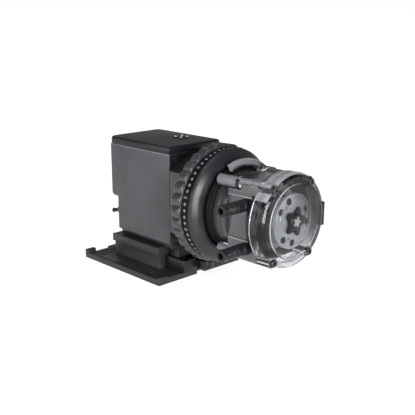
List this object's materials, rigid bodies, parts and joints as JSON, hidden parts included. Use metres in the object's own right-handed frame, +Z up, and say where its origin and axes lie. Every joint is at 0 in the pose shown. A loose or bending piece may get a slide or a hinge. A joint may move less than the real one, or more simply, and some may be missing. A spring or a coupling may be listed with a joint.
{
  "type": "peristaltic pump",
  "caption": "Peristaltic metering pump on a slide-on bracket: box motor, toothed feed-rate dial and clear roller head with side tube fittings.",
  "frame": {"origin": "centre of the bracket's underside", "axes": "+Z up, -Y along the pump axis towards the head cover, -X the side that the tube fittings leave from"},
  "size_m": [0.1387, 0.2772, 0.155],
  "materials": {
    "bracket_plastic": "moulded satin",
    "black_plastic": "moulded satin",
    "roof_plastic": "fine textured",
    "housing_plastic": "fine textured satin",
    "dial_plastic": "semi gloss",
    "drum_plastic": "moulded satin",
    "smoke_plastic": "polished, smoky",
    "clear_plastic": "polished clear",
    "tube_rubber": "smooth, translucent",
    "nylon": "moulded",
    "steel": "machined",
    "copper_coil": "enamelled winding wire",
    "bronze": "sintered"
  },
  "bodies": {
    "bracket": {"mounting_bracket": "bracket_plastic"},
    "pump": {"slide_foot": "black_plastic", "lock_pivot_pin": "steel", "motor_housing": "housing_plastic", "roof_cover": "roof_plastic", "roof_plate": "black_plastic", "switch_body": "black_plastic", "switch_bushing": "black_plastic", "cord_gland": "black_plastic", "stator_core": "steel", "stator_coil": "copper_coil", "front_bearing_bridge": "steel", "rear_bearing_bridge": "steel", "motor_stud_left": "steel", "motor_stud_right": "steel", "gear_case": "housing_plastic", "gear_case_plate": "steel", "gear_post_a": "steel", "gear_post_b": "steel", "spindle_bushing": "bronze", "mounting_plate": "black_plastic", "outer_frame": "dial_plastic", "head_drum": "drum_plastic", "tube_housing": "smoke_plastic", "head_bushing": "bronze", "pump_tube": "tube_rubber", "inlet_nut": "black_plastic", "inlet_connector": "black_plastic", "inlet_ferrule": "nylon", "outlet_nut": "black_plastic", "outlet_connector": "black_plastic", "outlet_ferrule": "nylon", "head_cover": "clear_plastic", "cover_bushing": "black_plastic", "head_bolt_1": "steel", "head_bolt_2": "steel", "head_bolt_3": "steel", "head_bolt_4": "steel"},
    "lock": {"lock_tab": "black_plastic"},
    "toggle": {"toggle_lever": "black_plastic"},
    "rotor": {"rotor_core": "steel", "rotor_shaft": "steel", "motor_pinion": "steel", "cooling_fan": "nylon"},
    "gear_a": {"first_gear": "nylon"},
    "gear_b": {"second_gear": "nylon"},
    "spindle": {"output_gear": "steel", "output_spindle": "steel", "pin_holder": "nylon"},
    "dial": {"dial_ring": "dial_plastic", "variable_cam": "nylon"},
    "shaft": {"main_shaft": "steel", "index_plate": "nylon", "roller_carrier": "nylon", "carrier_front": "nylon", "hub_nut": "black_plastic"},
    "roller_1": {"roller_1": "nylon"},
    "roller_2": {"roller_2": "nylon"},
    "roller_3": {"roller_3": "nylon"}
  },
  "joints": [
    {"name": "pump_slide", "type": "slide", "parent": "bracket", "child": "pump", "axis": [0, -1, 0], "range_m": [0, 0.05]},
    {"name": "lock_lift", "type": "hinge", "parent": "pump", "child": "lock", "pos_m": [0, -0.054, 0.0143], "axis": [-1, 0, 0], "range_deg": [0, 10.5], "stiffness_Nm_per_rad": 0.05, "springref_deg": -11.46},
    {"name": "toggle_flip", "type": "hinge", "parent": "pump", "child": "toggle", "pos_m": [-0.029, 0.0395, 0.06], "axis": [1, 0, 0], "range_deg": [0, 28]},
    {"name": "dial_turn", "type": "hinge", "parent": "pump", "child": "dial", "pos_m": [0, -0.104, 0.0894], "axis": [0, -1, 0], "range_deg": [0, 288]},
    {"name": "rotor_spin", "type": "hinge", "parent": "pump", "child": "rotor", "pos_m": [0, -0.008, 0.0894], "axis": [0, -1, 0], "continuous": true},
    {"name": "gear_a_spin", "type": "hinge", "parent": "pump", "child": "gear_a", "pos_m": [0.01717, -0.07, 0.10315], "axis": [0, -1, 0], "continuous": true},
    {"name": "gear_b_spin", "type": "hinge", "parent": "pump", "child": "gear_b", "pos_m": [0, -0.075, 0.1169], "axis": [0, -1, 0], "continuous": true},
    {"name": "spindle_spin", "type": "hinge", "parent": "pump", "child": "spindle", "pos_m": [0, -0.088, 0.0894], "axis": [0, -1, 0], "continuous": true},
    {"name": "shaft_spin", "type": "hinge", "parent": "pump", "child": "shaft", "pos_m": [0, -0.15, 0.0894], "axis": [0, -1, 0], "continuous": true},
    {"name": "roller_1_spin", "type": "hinge", "parent": "shaft", "child": "roller_1", "pos_m": [0.01852, -0.176, 0.092], "axis": [0, -1, 0], "continuous": true},
    {"name": "roller_2_spin", "type": "hinge", "parent": "shaft", "child": "roller_2", "pos_m": [-0.01151, -0.176, 0.10414], "axis": [0, -1, 0], "continuous": true},
    {"name": "roller_3_spin", "type": "hinge", "parent": "shaft", "child": "roller_3", "pos_m": [-0.007, -0.176, 0.07206], "axis": [0, -1, 0], "continuous": true}
  ],
  "couplings": [
    {"joint": "gear_a_spin", "follows": "rotor_spin", "ratio": -0.33333},
    {"joint": "gear_b_spin", "follows": "rotor_spin", "ratio": 0.11111},
    {"joint": "spindle_spin", "follows": "rotor_spin", "ratio": -0.027778},
    {"joint": "shaft_spin", "follows": "rotor_spin", "ratio": -0.027778},
    {"joint": "roller_1_spin", "follows": "rotor_spin", "ratio": 0.088889},
    {"joint": "roller_2_spin", "follows": "rotor_spin", "ratio": 0.088889},
    {"joint": "roller_3_spin", "follows": "rotor_spin", "ratio": 0.088889}
  ]
}
